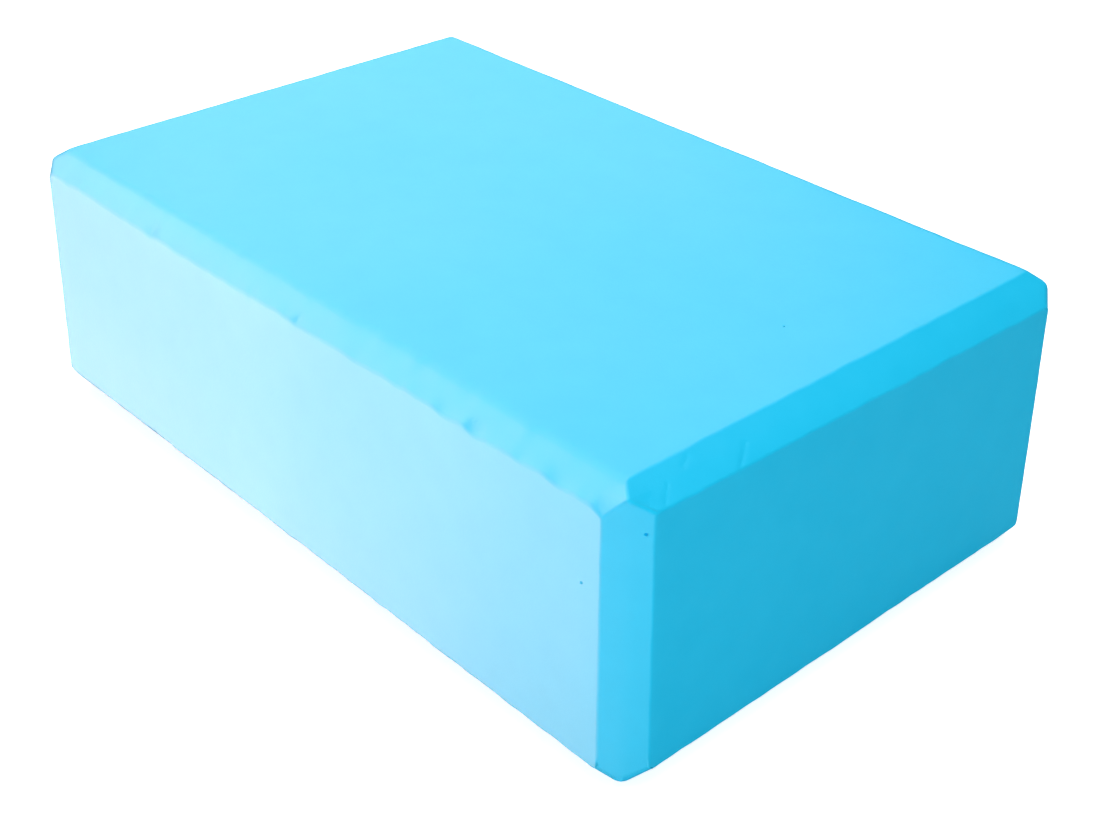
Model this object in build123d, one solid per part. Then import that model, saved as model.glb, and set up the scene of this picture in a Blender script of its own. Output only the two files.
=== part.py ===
from build123d import *
import os

# A closed-cell foam exercise block: one cut piece, every edge bevelled flat and the arrises
# left by the cuts slightly rounded. Millimetres. The origin is the middle of the underside,
# +X runs along the length, +Y across the width and +Z up through the thickness.

length = 229.0
width = 146.0
thickness = 75.0

flat_edge_bevel = 6.0
upright_edge_bevel = 7.0
arris_radius = 1.0


def bevelled_outline(plane, across, along, bevel):
    """A rectangle on the plane, centred, with each corner cut off at 45 degrees."""
    rectangle = Rectangle(across, along)
    return plane * chamfer(rectangle.vertices(), bevel)


def centred_bar(outline, depth):
    """The outline carried to both sides of its plane, to the stated depth in all."""
    return extrude(outline, amount=depth / 2, both=True)


# The same block is cut three ways. Each outline bevels the four edges that run through it,
# and where the three cuts cross, the bevels meet in plain mitres at the corners.
from_above = centred_bar(
    bevelled_outline(Plane.XY, length, width, upright_edge_bevel), thickness
)
from_the_side = centred_bar(
    bevelled_outline(Plane.XZ, length, thickness, flat_edge_bevel), width
)
from_the_end = centred_bar(
    bevelled_outline(Plane.YZ, width, thickness, flat_edge_bevel), length
)
cut_block = from_above & from_the_side & from_the_end

# Foam doesn't hold a knife-sharp arris, so every edge that the cuts leave is eased.
eased_block = fillet(cut_block.edges(), arris_radius)

foam_block = Pos(0, 0, thickness / 2) * eased_block.solid()
foam_block.label = "foam_block"

os.makedirs("parts", exist_ok=True)
export_step(foam_block, "parts/foam_block.step")
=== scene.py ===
import math
import bpy
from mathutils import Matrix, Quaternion, Vector, noise


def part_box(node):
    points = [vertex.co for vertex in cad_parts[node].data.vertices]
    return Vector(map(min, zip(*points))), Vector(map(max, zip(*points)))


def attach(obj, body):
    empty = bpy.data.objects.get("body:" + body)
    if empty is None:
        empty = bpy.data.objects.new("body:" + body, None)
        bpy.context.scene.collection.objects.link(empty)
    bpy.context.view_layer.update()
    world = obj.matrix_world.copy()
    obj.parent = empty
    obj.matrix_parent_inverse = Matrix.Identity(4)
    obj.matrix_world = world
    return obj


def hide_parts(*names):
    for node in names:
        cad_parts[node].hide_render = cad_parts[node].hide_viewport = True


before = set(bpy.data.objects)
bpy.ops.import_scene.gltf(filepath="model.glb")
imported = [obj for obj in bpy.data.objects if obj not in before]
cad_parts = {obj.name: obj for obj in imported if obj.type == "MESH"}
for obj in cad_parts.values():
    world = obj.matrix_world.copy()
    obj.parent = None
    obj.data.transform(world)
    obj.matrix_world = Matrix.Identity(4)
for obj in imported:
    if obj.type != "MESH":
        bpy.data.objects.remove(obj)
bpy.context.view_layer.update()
mm = 0.001

blockLow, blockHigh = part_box("foam_block")
blockSize = blockHigh - blockLow
blockCentre = (blockHigh + blockLow) / 2
halfSize = blockSize / 2
print("frame loaded, block size in mm", [round(side / mm, 2) for side in blockSize])


def deselectAll():
    bpy.ops.object.select_all(action="DESELECT")


def editAll():
    bpy.ops.object.mode_set(mode="EDIT")
    bpy.ops.mesh.select_all(action="SELECT")


def leaveEditing():
    bpy.ops.object.mode_set(mode="OBJECT")


def editPolygons(piece, chosen):
    # enters edit mode with just these faces selected, by number
    editAll()
    bpy.ops.mesh.select_all(action="DESELECT")
    leaveEditing()
    for index in chosen:
        piece.data.polygons[index].select = True
    bpy.ops.object.mode_set(mode="EDIT")


def easeStep(value, low, high):
    # 0 below low, 1 above high, a soft climb between
    share = min(max((value - low) / (high - low), 0.0), 1.0)
    return share * share * (3 - 2 * share)


def diagonal(first, firstSide, second, secondSide):
    # the direction halfway between two axes
    direction = Vector((0, 0, 0))
    direction[first] = firstSide
    direction[second] = secondSide
    return direction.normalized()


foamBlock = {
    "flatBevel": 6.0 * mm,  # width taken off each face along the level edges
    "uprightBevel": 7.0 * mm,  # the same along the four upright edges
    "arrisSteps": 4,  # faces round each eased arris
    "plainEase": 0.42 * mm,  # how far the rounding runs back from most arrises
    "longSideEase": 0.8 * mm,  # the same where a long bevel meets the long side
    "longTopEase": 1.5 * mm,  # and where it meets the top or underside
    "cornerEase": 1.8 * mm,  # along the mitres, which are rubbed round
    "crispCornerEase": 0.8 * mm,  # the near top corner has kept sharper mitres
    "tipSeat": 0.64,  # how far each corner's tip stands in towards its flats
    "crispTipSeat": 0.72,
    "bevelStrips": 4,  # lengthwise strips across each bevel
    "stripArea": 50 * mm * mm,  # faces smaller than this belong to an arris
    "sliceStep": Vector((1.2, 1.5, 2.0)) * mm,  # spacing of the working grid
    "sliceMargin": Vector((9.5, 9.5, 8.5)) * mm,  # no slices this near the sides
    "sliver": 0.001 * mm,  # anything thinner that the refining leaves is cleared
    "weld": 0.005 * mm,
    "touch": 0.01 * mm,  # a point this near a side lies on it
    "flatFacing": 0.9,  # how squarely a flat, a bevel and a bevel's side face their axes
    "bevelFacing": 0.97,
    "sideFacing": 0.3,
}

# Hand-cut bevels aren't quite even. These are the corners of three flats, each given as how far
# it stands in from the block's sides, in mm.
frontCorners = {  # (in from the end, in from the top or underside)
    (1, 1): (7.5, 4.6),
    (-1, 1): (6.3, 5.6),
    (1, -1): (7.1, 5.4),
    (-1, -1): (3.9, 7.8),
}
endCorners = {  # (in from the long side, in from the top or underside)
    (-1, 1): (7.3, 4.6),
    (1, 1): (6.8, 6.3),
    (-1, -1): (8.5, 4.7),
    (1, -1): (6.2, 5.7),
}
topCorners = {  # (in from the end, in from the long side)
    (1, -1): (7.7, 6.4),
    (-1, -1): (6.8, 5.7),
    (1, 1): (7.5, 5.7),
    (-1, 1): (6.2, 4.4),
}


def cutBevel(first, firstSide, second, secondSide, width):
    # slices off the edge where two sides meet, and closes the cut
    normal = diagonal(first, firstSide, second, secondSide)
    place = blockCentre.copy()
    place[first] += firstSide * (halfSize[first] - width)
    place[second] += secondSide * halfSize[second]
    bpy.ops.mesh.select_all(action="SELECT")
    bpy.ops.mesh.bisect(plane_co=place, plane_no=normal, use_fill=True, clear_outer=True)


def setFlatCorners(mesh, faceAxis, faceSide, corners):
    # moves a flat's four corners in its own plane to where they were cut
    level = blockCentre[faceAxis] + faceSide * halfSize[faceAxis]
    across, along = [axis for axis in range(3) if axis != faceAxis]
    for vertex in mesh.vertices:
        if abs(vertex.co[faceAxis] - level) > foamBlock["touch"]:
            continue
        offset = vertex.co - blockCentre
        sides = (int(math.copysign(1, offset[across])), int(math.copysign(1, offset[along])))
        inAcross, inAlong = corners[sides]
        vertex.co[across] = blockCentre[across] + sides[0] * (halfSize[across] - inAcross * mm)
        vertex.co[along] = blockCentre[along] + sides[1] * (halfSize[along] - inAlong * mm)


def atCrispCorner(place):
    # the near top corner, between the long side and the end
    return place.x > blockCentre.x and place.y < blockCentre.y and place.z > blockCentre.z


def seatMitrePoints(mesh):
    # the point where three bevels meet follows the three flats' corners round it
    for vertex in mesh.vertices:
        offset = vertex.co - blockCentre
        gaps = [halfSize[axis] - abs(offset[axis]) for axis in range(3)]
        if min(gaps) < foamBlock["touch"]:
            continue
        signs = [math.copysign(1, offset[axis]) for axis in range(3)]
        corner = Vector([blockCentre[axis] + signs[axis] * halfSize[axis] for axis in range(3)])
        near = sorted(mesh.vertices, key=lambda other: (other.co - corner).length)
        flats = [other.co for other in near if other.index != vertex.index][:3]
        middle = (flats[0] + flats[1] + flats[2]) / 3
        seat = foamBlock["crispTipSeat"] if atCrispCorner(corner) else foamBlock["tipSeat"]
        vertex.co = corner + (middle - corner) * seat


def cutBlock():
    deselectAll()
    bpy.ops.mesh.primitive_cube_add(size=1, location=blockCentre)
    block = bpy.context.object
    block.name = block.data.name = "foamBlockSkin"
    block.scale = blockSize
    bpy.ops.object.transform_apply(location=True, rotation=True, scale=True)
    editAll()
    for sideA in (-1, 1):
        for sideB in (-1, 1):
            cutBevel(1, sideA, 2, sideB, foamBlock["flatBevel"])
            cutBevel(0, sideA, 2, sideB, foamBlock["flatBevel"])
            cutBevel(0, sideA, 1, sideB, foamBlock["uprightBevel"])
    bpy.ops.mesh.select_all(action="SELECT")
    bpy.ops.mesh.remove_doubles(threshold=foamBlock["weld"])
    leaveEditing()
    setFlatCorners(block.data, 1, -1, frontCorners)
    setFlatCorners(block.data, 0, 1, endCorners)
    setFlatCorners(block.data, 2, 1, topCorners)
    seatMitrePoints(block.data)
    print("block cut with", len(block.data.polygons), "faces")
    return block


def arrisEase(normalA, normalB, middle):
    # how softly the edge between two cut faces is eased
    squarely = foamBlock["flatFacing"]
    flats = [normal for normal in (normalA, normalB) if max(map(abs, normal)) > squarely]
    if not flats:
        return foamBlock["crispCornerEase" if atCrispCorner(middle) else "cornerEase"]
    flat = flats[0]
    bevel = normalB if flat is normalA else normalA
    if abs(bevel.x) > foamBlock["sideFacing"] or bevel.z < 0:
        return foamBlock["plainEase"]
    return foamBlock["longTopEase"] if abs(flat.z) > squarely else foamBlock["longSideEase"]


def easeArrises(block):
    mesh = block.data
    touching = {}
    for polygon in mesh.polygons:
        for key in polygon.edge_keys:
            touching.setdefault(key, []).append(polygon.normal.copy())
    weights = mesh.attributes.new("bevel_weight_edge", "FLOAT", "EDGE")
    widest = foamBlock["cornerEase"]
    for edge in mesh.edges:
        middle = sum((mesh.vertices[index].co for index in edge.vertices), Vector()) / 2
        weights.data[edge.index].value = arrisEase(*touching[edge.key], middle) / widest
    rounding = block.modifiers.new("arrises", "BEVEL")
    rounding.limit_method = "WEIGHT"
    rounding.width = widest
    rounding.segments = foamBlock["arrisSteps"]
    bpy.ops.object.modifier_apply(modifier=rounding.name)
    print("arrises eased,", len(mesh.polygons), "faces")


def stripBevel(block, first, firstSide, second, secondSide, width):
    # divides one bevel lengthwise, so that its surface can be worked
    facing = diagonal(first, firstSide, second, secondSide)
    across = diagonal(first, firstSide, second, -secondSide)
    middle = blockCentre.copy()
    middle[first] += firstSide * (halfSize[first] - width / 2)
    middle[second] += secondSide * (halfSize[second] - width / 2)
    strips = foamBlock["bevelStrips"]
    for cut in range(1, strips):
        chosen = []
        for polygon in block.data.polygons:
            facesOut = polygon.normal.dot(facing) > foamBlock["bevelFacing"]
            if facesOut and polygon.area > foamBlock["stripArea"]:
                chosen.append(polygon.index)
        editPolygons(block, chosen)
        shift = (cut / strips - 0.5) * width
        bpy.ops.mesh.bisect(plane_co=middle + across * shift, plane_no=across)
        leaveEditing()


def stripBevels(block):
    for firstSide in (-1, 1):
        for secondSide in (-1, 1):
            stripBevel(block, 1, firstSide, 2, secondSide, foamBlock["flatBevel"])
            stripBevel(block, 0, firstSide, 2, secondSide, foamBlock["flatBevel"])
            stripBevel(block, 0, firstSide, 1, secondSide, foamBlock["uprightBevel"])


def sliceBlock(block):
    # cuts the faces into a fine working grid without changing their shape
    editAll()
    for axis in range(3):
        normal = Vector((0, 0, 0))
        normal[axis] = 1
        start = blockLow[axis] + foamBlock["sliceMargin"][axis]
        reach = blockSize[axis] - 2 * foamBlock["sliceMargin"][axis]
        count = round(reach / foamBlock["sliceStep"][axis])
        for index in range(count + 1):
            place = blockLow.copy()
            place[axis] = start + reach * index / count
            bpy.ops.mesh.select_all(action="SELECT")
            bpy.ops.mesh.bisect(plane_co=place, plane_no=normal)
    leaveEditing()
    print("working grid cut,", len(block.data.polygons), "faces")


block = cutBlock()
easeArrises(block)
stripBevels(block)
sliceBlock(block)

# The long bevels were cut by hand, so their arrises wander. Each size is how far an arris may
# stray to either side.
wander = {
    "longTop": 1.2 * mm,
    "longSide": 1.1 * mm,
    "end": 0.45 * mm,
    "upright": 0.28 * mm,
    "backShare": 0.3,  # the long bevels on the back were cut truer
    "lowShare": 0.5,  # and those beside the underside a little truer
    "waves": ((16.0 * mm, 0.42), (6.0 * mm, 0.45), (3.6 * mm, 0.45)),  # spacing and share
    "rows": (11.3, 3.7, 23.1, 41.9),  # these set the arrises apart in the noise
    "waveRow": 100,
    "reach": 3.0 * mm,  # how far from the arris the surface still follows it
    "bevelEdge": (7.6 * mm, 8.4 * mm),  # the bevels end this far in from the block's sides
}
relief = {
    "faceDepth": 0.10 * mm,  # slow hollows in the sawn faces
    "faceWave": 38.0 * mm,
    "bevelDepth": 0.055 * mm,  # chatter across the bevels
    "bevelWave": 7.0 * mm,
    "bevelRows": (5, 3),
    "faceMargin": (9.0 * mm, 25.0 * mm),  # the hollows grow between these distances from an arris
    "bevelMargin": (0.3 * mm, 2.5 * mm),  # and the chatter between these
    "touch": 0.02 * mm,
}


def gapsAt(place):
    # how far a point stands in from the block's sides
    offset = place - blockCentre
    return [halfSize[axis] - abs(offset[axis]) for axis in range(3)]


def wanderAt(place, flatAxis, slideAxis, offset):
    axes = {flatAxis, slideAxis}
    if axes == {1, 2}:
        size = wander["longTop"] if flatAxis == 2 else wander["longSide"]
        size *= wander["backShare"] if offset.y > 0 else 1
        size *= wander["lowShare"] if offset.z < 0 else 1
    else:
        size = wander["end"] if 2 in axes else wander["upright"]
    run = place[3 - flatAxis - slideAxis]
    sides = [math.copysign(1, offset[axis]) for axis in (flatAxis, slideAxis)]
    row = sum(step * part for step, part in zip(wander["rows"], (flatAxis, slideAxis, *sides)))
    stray = 0
    for wave, share in wander["waves"]:
        stray += share * noise.noise(Vector((run / wave, row, wander["waveRow"] * wave)))
    return size * stray


def roughenArrises(mesh):
    # each arris slides a little to and fro on its flat, and the bevel beside it follows
    for vertex in mesh.vertices:
        gaps = gapsAt(vertex.co)
        first, second = sorted(range(3), key=lambda axis: gaps[axis])[:2]
        inBevel = 1 - easeStep(gaps[second], *wander["bevelEdge"])
        if inBevel == 0:
            continue
        offset = vertex.co - blockCentre
        sides = [math.copysign(1, offset[axis]) for axis in range(3)]
        move = Vector((0, 0, 0))
        for flatAxis, slideAxis in ((first, second), (second, first)):
            near = 1 - easeStep(gaps[flatAxis], 0, wander["reach"])
            amount = wanderAt(vertex.co, flatAxis, slideAxis, offset)
            move[slideAxis] += near * inBevel * amount * sides[slideAxis]
        run = vertex.co[3 - first - second] / relief["bevelWave"]
        rowA = relief["bevelRows"][0] * first + sides[first]
        rowB = relief["bevelRows"][1] * second + sides[second]
        chatter = noise.noise(Vector((run, rowA, rowB)))
        inside = easeStep(gaps[first], *relief["bevelMargin"])
        for axis in (first, second):
            move[axis] += sides[axis] * inside * chatter * relief["bevelDepth"]
        vertex.co += move


def relieveFaces(mesh):
    # the sawn faces aren't dead flat, but the underside keeps its level
    for vertex in mesh.vertices:
        gaps = gapsAt(vertex.co)
        for axis in range(3):
            offset = vertex.co[axis] - blockCentre[axis]
            if gaps[axis] > relief["touch"] or (axis == 2 and offset < 0):
                continue
            others = [gaps[other] for other in range(3) if other != axis]
            inside = easeStep(min(others), *relief["faceMargin"])
            hollow = 0.5 + 0.5 * noise.noise(vertex.co / relief["faceWave"])
            vertex.co[axis] -= math.copysign(1, offset) * inside * hollow * relief["faceDepth"]


# Marks are placed by how far in they lie from the near corner: from the end, from the long side
# and from the top, in mm. Their other sizes are in mm too.
pits = [
    {"place": (1.3, 6.15, 9.3), "radius": 0.33, "depth": 0.6, "rim": 0.15},
    {"place": (12.7, 0.0, 24.3), "radius": 0.30, "depth": 0.5, "rim": 0.05},
    {"place": (27.9, 75.9, 0.0), "radius": 0.26, "depth": 0.4, "rim": 0.02},
]
dents = [
    {"place": (171.5, 0.8, 4.7), "radius": 1.9, "depth": 0.17},
    {"place": (47.8, 1.1, 4.4), "radius": 1.9, "depth": 0.12},
    {"place": (108.9, 0.9, 4.6), "radius": 1.8, "depth": 0.25},
    {"place": (127.4, 0.9, 4.8), "radius": 2.0, "depth": 0.22},
]
scores = [
    {"start": (3.4, 14.1, 2.1), "end": (1.1, 10.8, 4.4), "width": 1.0, "depth": 0.09},
    {"start": (3.4, 36.7, 2.1), "end": (0.4, 31.3, 5.1), "width": 1.2, "depth": 0.13},
    {"start": (5.8, 22.3, 0.0), "end": (4.7, 19.9, 0.8), "width": 1.2, "depth": 0.09},
]
# The near corner's mitres don't meet quite where the cuts would put them.
nudges = [
    {"place": (3.6, 3.3, 2.2), "radius": 2.6, "rise": 0.8},
    {"place": (7.5, 0.0, 4.6), "radius": 3.6, "rise": -1.3},
]
# How finely the faces are split round a mark, how far it reaches and how it falls away are all
# shares of its radius or width.
markFinish = {
    "workRings": (2.4 * mm, 1.6 * mm, 1.0 * mm, 0.6 * mm),  # finer faces inside each ring
    "passes": 2,  # how often each ring is split
    "faceReach": 6.0 * mm,  # faces whose middle is this much further off are passed over
    "pit": {"spacing": 0.3, "reach": 2.2, "wall": 1.4, "lipAt": 1.4, "lipWidth": 0.08},
    "rimSide": Vector((0.5, 0.5, -0.7)),  # a pit's raised lip is on this side
    "dent": {"spacing": 0.25, "reach": 2.0, "fall": 1.8},
    "score": {"spacing": 0.3, "reach": 1.5},
}
arrisStep = {  # where the long cut was restarted, and the arris below it drops
    "in": 47.8 * mm,
    "height": 0.20 * mm,
    "run": 2.5 * mm,  # half the length over which it drops
    "reach": 14.0 * mm,
    "depth": 3.0 * mm,
}


def cornerPlace(distances):
    inX, inY, inZ = distances
    return Vector((blockHigh.x - inX * mm, blockLow.y + inY * mm, blockHigh.z - inZ * mm))


def onSkin(block, distances):
    return block.closest_point_on_mesh(cornerPlace(distances))[1]


def segmentGap(place, start, end):
    along = end - start
    if along.length == 0:
        return (place - start).length
    share = (place - start).dot(along) / along.length_squared
    return (place - (start + along * min(max(share, 0.0), 1.0))).length


def refineAround(block, start, end, reach, spacing):
    # splits the faces near a mark until its shape can be pressed into them
    middle = (start + end) / 2
    for ring in markFinish["workRings"]:
        limit = (end - start).length / 2 + reach + ring + markFinish["faceReach"]
        for again in range(markFinish["passes"]):
            chosen = []
            for polygon in block.data.polygons:
                size = math.sqrt(polygon.area)
                if size <= spacing or (polygon.center - middle).length > limit:
                    continue
                if segmentGap(polygon.center, start, end) < reach + ring + size / 2:
                    chosen.append(polygon.index)
            if not chosen:
                break
            editPolygons(block, chosen)
            bpy.ops.mesh.quads_convert_to_tris(quad_method="BEAUTY", ngon_method="BEAUTY")
            bpy.ops.mesh.subdivide(number_cuts=1)
            leaveEditing()


def nearVertices(block, start, end, reach):
    # the vertices near a mark, each with the way out of the foam there
    found = []
    for vertex in block.data.vertices:
        if segmentGap(vertex.co, start, end) < reach:
            found.append((vertex, vertex.normal.copy()))
    return found


def pressPit(block, pit):
    centre = onSkin(block, pit["place"])
    radius = pit["radius"] * mm
    form = markFinish["pit"]
    refineAround(block, centre, centre, radius, radius * form["spacing"])
    for vertex, outward in nearVertices(block, centre, centre, form["reach"] * radius):
        offset = vertex.co - centre
        share = offset.length / radius
        hollow = math.exp(-form["wall"] * share**4)
        lip = math.exp(-((share - form["lipAt"]) ** 2) / form["lipWidth"])
        lip *= max(offset.normalized().dot(markFinish["rimSide"]), 0)
        vertex.co += outward * (lip * pit["rim"] - hollow * pit["depth"]) * mm


def pressDent(block, dent):
    centre = onSkin(block, dent["place"])
    radius = dent["radius"] * mm
    form = markFinish["dent"]
    refineAround(block, centre, centre, radius, radius * form["spacing"])
    for vertex, outward in nearVertices(block, centre, centre, form["reach"] * radius):
        share = (vertex.co - centre).length / radius
        vertex.co -= outward * math.exp(-form["fall"] * share**2) * dent["depth"] * mm


def scoreLine(block, score):
    start = onSkin(block, score["start"])
    end = onSkin(block, score["end"])
    width = score["width"] * mm
    form = markFinish["score"]
    refineAround(block, start, end, width, width * form["spacing"])
    for vertex, outward in nearVertices(block, start, end, form["reach"] * width):
        share = segmentGap(vertex.co, start, end) / (width / 2)
        vertex.co -= outward * math.exp(-(share**2)) * score["depth"] * mm


def nudge(mesh, grab):
    # pulls the points near a corner up or down
    centre = cornerPlace(grab["place"])
    for vertex in mesh.vertices:
        gap = (vertex.co - centre).length
        vertex.co.z += (1 - easeStep(gap, 0, grab["radius"] * mm)) * grab["rise"] * mm


def stepArris(mesh):
    # raises the arris on one side of the step and lowers it on the other, fading both ways
    stepX = blockHigh.x - arrisStep["in"]
    reach = arrisStep["depth"]
    for vertex in mesh.vertices:
        gapX, gapY, gapZ = gapsAt(vertex.co)
        onNearArris = vertex.co.y < blockCentre.y and vertex.co.z > blockCentre.z
        if not onNearArris or gapY > reach or gapZ > wander["bevelEdge"][0]:
            continue
        distance = vertex.co.x - stepX
        side = 1 - 2 * easeStep(distance, -arrisStep["run"], arrisStep["run"])
        fade = math.exp(-abs(distance) / arrisStep["reach"])
        near = (1 - easeStep(gapY, 0, reach)) * easeStep(gapZ, 0, reach)
        vertex.co.z += side * fade * near * arrisStep["height"]


relieveFaces(block.data)
roughenArrises(block.data)
stepArris(block.data)
for grab in nudges:
    nudge(block.data, grab)
for dent in dents:
    pressDent(block, dent)
for score in scores:
    scoreLine(block, score)
for pit in pits:
    pressPit(block, pit)
print("marks pressed in,", len(block.data.polygons), "faces")


def finishSkin(block):
    deselectAll()
    block.select_set(True)
    bpy.context.view_layer.objects.active = block
    editAll()
    bpy.ops.mesh.dissolve_degenerate(threshold=foamBlock["sliver"])
    bpy.ops.mesh.normals_make_consistent(inside=False)
    leaveEditing()
    bpy.ops.object.shade_smooth()
    weighting = block.modifiers.new("evenNormals", "WEIGHTED_NORMAL")
    weighting.mode = "FACE_AREA"
    bpy.ops.object.modifier_apply(modifier=weighting.name)


# Each side has its own place on the map: where it starts, and which way its two axes run.
mapSheet = 396.0  # the map's width, in mm of foam
mapSpots = {
    (2, 1): ((4, 4), 0, 1),
    (2, -1): ((4, 154), 0, 1),
    (1, -1): ((4, 304), 0, 2),
    (1, 1): ((237, 4), 2, 0),
    (0, 1): ((316, 4), 2, 1),
    (0, -1): ((316, 154), 2, 1),
}


def mapSkin(mesh):
    for layer in list(mesh.uv_layers):
        mesh.uv_layers.remove(layer)
    layer = mesh.uv_layers.new(name="OFBake")
    favour = (1.0, 1.01, 1.02)  # settles which map a bevel goes to
    for polygon in mesh.polygons:
        axis = max(range(3), key=lambda index: abs(polygon.normal[index]) * favour[index])
        side = 1 if polygon.normal[axis] > 0 else -1
        start, axisU, axisV = mapSpots[(axis, side)]
        for loop in polygon.loop_indices:
            place = mesh.vertices[mesh.loops[loop].vertex_index].co
            u = start[0] + (place[axisU] - blockLow[axisU]) / mm
            v = start[1] + (place[axisV] - blockLow[axisV]) / mm
            layer.data[loop].uv = (u / mapSheet, v / mapSheet)


finishSkin(block)
mapSkin(block.data)

foamFinish = {
    "deepColour": (0.000, 0.522, 0.842, 1),
    "paleColour": (0.008, 0.558, 0.878, 1),
    "patchSize": 9 * mm,  # faint patches of lighter and deeper foam
    "patchDetail": 3,
    "driftSize": 60 * mm,  # slower drift of the gloss across the whole block
    "driftDetail": 2,
    "cellSize": 0.45 * mm,  # the cut cells that make the grain
    "cellDepth": 0.012 * mm,
    "skinSize": 1.3 * mm,  # the uneven pull of the saw
    "skinDepth": 0.010 * mm,
    "skinDetail": 2,
    "roughness": (0.46, 0.54),
    "gloss": 0.25,  # foam shines less than solid plastic
}


def makeFoam():
    material = bpy.data.materials.new("skyBlueFoam")
    material.use_nodes = True
    nodes = material.node_tree.nodes
    links = material.node_tree.links
    shader = nodes["Principled BSDF"]
    place = nodes.new("ShaderNodeTexCoord").outputs["Object"]

    def noiseOf(size, detail):
        texture = nodes.new("ShaderNodeTexNoise")
        texture.inputs["Scale"].default_value = 1 / size
        texture.inputs["Detail"].default_value = detail
        links.new(place, texture.inputs["Vector"])
        return texture.outputs["Fac"]

    patchNoise = noiseOf(foamFinish["patchSize"], foamFinish["patchDetail"])
    patches = nodes.new("ShaderNodeMix")
    patches.data_type = "RGBA"
    links.new(patchNoise, patches.inputs["Factor"])
    patches.inputs["A"].default_value = foamFinish["deepColour"]
    patches.inputs["B"].default_value = foamFinish["paleColour"]
    links.new(patches.outputs["Result"], shader.inputs["Base Color"])

    skin = nodes.new("ShaderNodeBump")
    skin.inputs["Distance"].default_value = foamFinish["skinDepth"]
    links.new(noiseOf(foamFinish["skinSize"], foamFinish["skinDetail"]), skin.inputs["Height"])
    cells = nodes.new("ShaderNodeTexVoronoi")
    cells.inputs["Scale"].default_value = 1 / foamFinish["cellSize"]
    links.new(place, cells.inputs["Vector"])
    grain = nodes.new("ShaderNodeBump")
    grain.inputs["Distance"].default_value = foamFinish["cellDepth"]
    links.new(cells.outputs["Distance"], grain.inputs["Height"])
    links.new(skin.outputs["Normal"], grain.inputs["Normal"])
    links.new(grain.outputs["Normal"], shader.inputs["Normal"])

    shader.inputs["Specular IOR Level"].default_value = foamFinish["gloss"]
    spread = nodes.new("ShaderNodeMapRange")
    spread.inputs["To Min"].default_value = foamFinish["roughness"][0]
    spread.inputs["To Max"].default_value = foamFinish["roughness"][1]
    drift = noiseOf(foamFinish["driftSize"], foamFinish["driftDetail"])
    links.new(drift, spread.inputs["Value"])
    links.new(spread.outputs["Result"], shader.inputs["Roughness"])
    return material


block.data.materials.clear()
block.data.materials.append(makeFoam())

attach(block, "root")
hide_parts("foam_block")
print("foam finished")

studio = {
    "floorWidth": 6.0,
    "floorGrey": 0.66,
    "floorGlow": 0.76,  # what the camera alone sees added, so that the floor reads white
    "roomLight": 0.32,  # what the white room gives from all sides
}

# Directions are degrees round from the long side and up from the floor, the rest is in metres.
lamps = {
    "frontSoftbox": {"turn": 45, "rise": 3, "distance": 1.0, "size": 0.7, "watts": 6.9},
    "overheadSoftbox": {"turn": 60, "rise": 86, "distance": 1.3, "size": 1.4, "watts": 9.6},
    "backSoftbox": {"turn": -125, "rise": 30, "distance": 1.3, "size": 1.0, "watts": 4.4},
    "highBackSoftbox": {"turn": -130, "rise": 60, "distance": 1.3, "size": 1.4, "watts": 6.5},
}
# These show only in the foam's sheen and light nothing else. The first three stand lower than
# the floor, where the sheen of the upright sides comes from.
sheenCards = {
    "lowCard": {"turn": -47, "rise": -28, "distance": 1.3, "size": 0.9, "watts": 33},
    "middleCard": {"turn": 0, "rise": -28, "distance": 1.3, "size": 0.9, "watts": 15},
    "frontCard": {"turn": 42, "rise": -28, "distance": 1.3, "size": 0.9, "watts": 10.5},
    "sideCard": {"turn": -42, "rise": 4, "distance": 1.3, "size": 0.9, "watts": 38},
    "leftCard": {"turn": -56, "rise": 37, "distance": 1.3, "size": 0.9, "watts": 40},
    "highCard": {"turn": -98, "rise": 50, "distance": 1.3, "size": 0.9, "watts": 12},
    "backCard": {"turn": -132, "rise": 28, "distance": 1.3, "size": 0.9, "watts": 3.0},
}


def paintFloor():
    # a plain pale floor, which the camera sees lifted to white wherever no shadow falls
    paint = bpy.data.materials.new("floorPaint")
    paint.use_nodes = True
    nodes = paint.node_tree.nodes
    links = paint.node_tree.links
    nodes.remove(nodes["Principled BSDF"])
    matte = nodes.new("ShaderNodeBsdfDiffuse")
    matte.inputs["Color"].default_value = (studio["floorGrey"],) * 3 + (1,)
    glow = nodes.new("ShaderNodeEmission")
    glow.inputs["Strength"].default_value = studio["floorGlow"]
    lifted = nodes.new("ShaderNodeAddShader")
    links.new(matte.outputs[0], lifted.inputs[0])
    links.new(glow.outputs[0], lifted.inputs[1])
    mixer = nodes.new("ShaderNodeMixShader")
    links.new(nodes.new("ShaderNodeLightPath").outputs["Is Camera Ray"], mixer.inputs[0])
    links.new(matte.outputs[0], mixer.inputs[1])
    links.new(lifted.outputs[0], mixer.inputs[2])
    links.new(mixer.outputs[0], nodes["Material Output"].inputs["Surface"])
    return paint


def layFloor():
    deselectAll()
    bpy.ops.mesh.primitive_plane_add(size=studio["floorWidth"], location=(0, 0, 0))
    floor = bpy.context.object
    floor.name = "studioFloor"
    floor.data.materials.append(paintFloor())
    floor.visible_glossy = False


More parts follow.
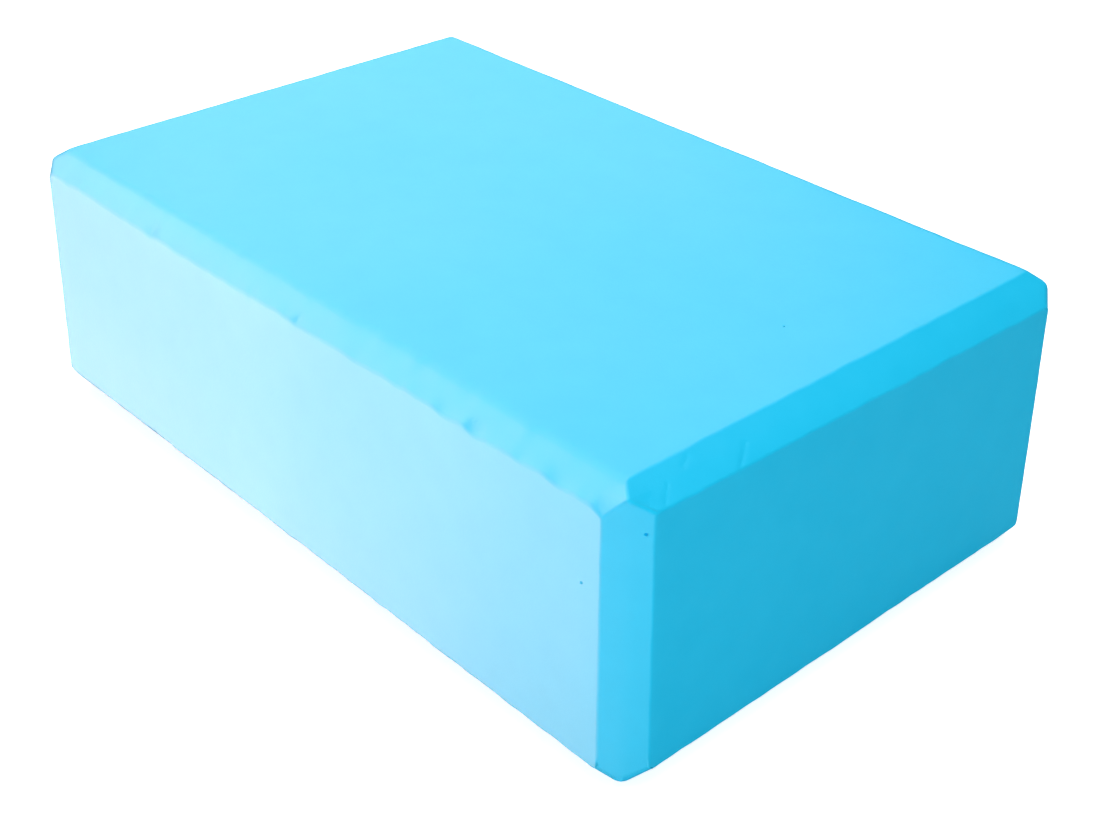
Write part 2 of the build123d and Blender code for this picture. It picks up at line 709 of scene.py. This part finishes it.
def lightRoom():
    world = bpy.data.worlds.new("studioRoom")
    bpy.context.scene.world = world
    world.use_nodes = True
    nodes = world.node_tree.nodes
    links = world.node_tree.links
    room = nodes["Background"]
    room.inputs["Color"].default_value = (1, 1, 1, 1)
    room.inputs["Strength"].default_value = studio["roomLight"]
    backdrop = nodes.new("ShaderNodeBackground")
    backdrop.inputs["Color"].default_value = (1, 1, 1, 1)
    mixer = nodes.new("ShaderNodeMixShader")
    links.new(nodes.new("ShaderNodeLightPath").outputs["Is Camera Ray"], mixer.inputs[0])
    links.new(room.outputs[0], mixer.inputs[1])
    links.new(backdrop.outputs[0], mixer.inputs[2])
    links.new(mixer.outputs[0], nodes["World Output"].inputs["Surface"])
    world.cycles_visibility.glossy = False


def directionOf(turn, rise):
    turn, rise = math.radians(turn), math.radians(rise)
    return Vector(
        (math.sin(turn) * math.cos(rise), -math.cos(turn) * math.cos(rise), math.sin(rise))
    )


def addLamp(name, lamp):
    data = bpy.data.lights.new(name, "AREA")
    data.shape = "SQUARE"
    data.size = lamp["size"]
    data.energy = lamp["watts"]
    holder = bpy.data.objects.new(name, data)
    away = directionOf(lamp["turn"], lamp["rise"])
    holder.location = blockCentre + away * lamp["distance"]
    holder.rotation_mode = "QUATERNION"
    holder.rotation_quaternion = away.to_track_quat("Z", "Y")
    bpy.context.scene.collection.objects.link(holder)
    return holder


def addSheenCard(name, card):
    # a lamp that only the foam's gloss answers to
    holder = addLamp(name, card)
    holder.visible_diffuse = False
    holder.data.cycles.use_multiple_importance_sampling = False
    reach = bpy.data.collections.new(name + "Reach")
    reach.objects.link(block)
    holder.light_linking.receiver_collection = reach
    holder.light_linking.blocker_collection = reach


layFloor()
lightRoom()
for name, lamp in lamps.items():
    addLamp(name, lamp)
for name, card in sheenCards.items():
    addSheenCard(name, card)
print("studio lit by", len(lamps), "lamps and", len(sheenCards), "cards")

cameraSetup = {
    "turn": 47.4,
    "rise": 28.1,
    "roll": 0.5,
    "distance": 474.6 * mm,
    "aim": Vector((2.5, 9.2, 45.6)) * mm,
    "sensor": 36.0,
    "lens": 59.0,
    "shiftUp": -0.099,
    "nearest": 10 * mm,
}


def addCamera():
    data = bpy.data.cameras.new("camera")
    camera = bpy.data.objects.new("camera", data)
    bpy.context.scene.collection.objects.link(camera)
    back = directionOf(cameraSetup["turn"], cameraSetup["rise"])
    camera.location = cameraSetup["aim"] + back * cameraSetup["distance"]
    camera.rotation_mode = "QUATERNION"
    level = (-back).to_track_quat("-Z", "Y")
    camera.rotation_quaternion = level @ Quaternion((0, 0, 1), math.radians(cameraSetup["roll"]))
    data.sensor_width = cameraSetup["sensor"]
    data.lens = cameraSetup["lens"]
    data.shift_y = cameraSetup["shiftUp"]
    data.clip_start = cameraSetup["nearest"]
    bpy.context.scene.camera = camera


addCamera()
bpy.context.scene.view_settings.view_transform = "Standard"
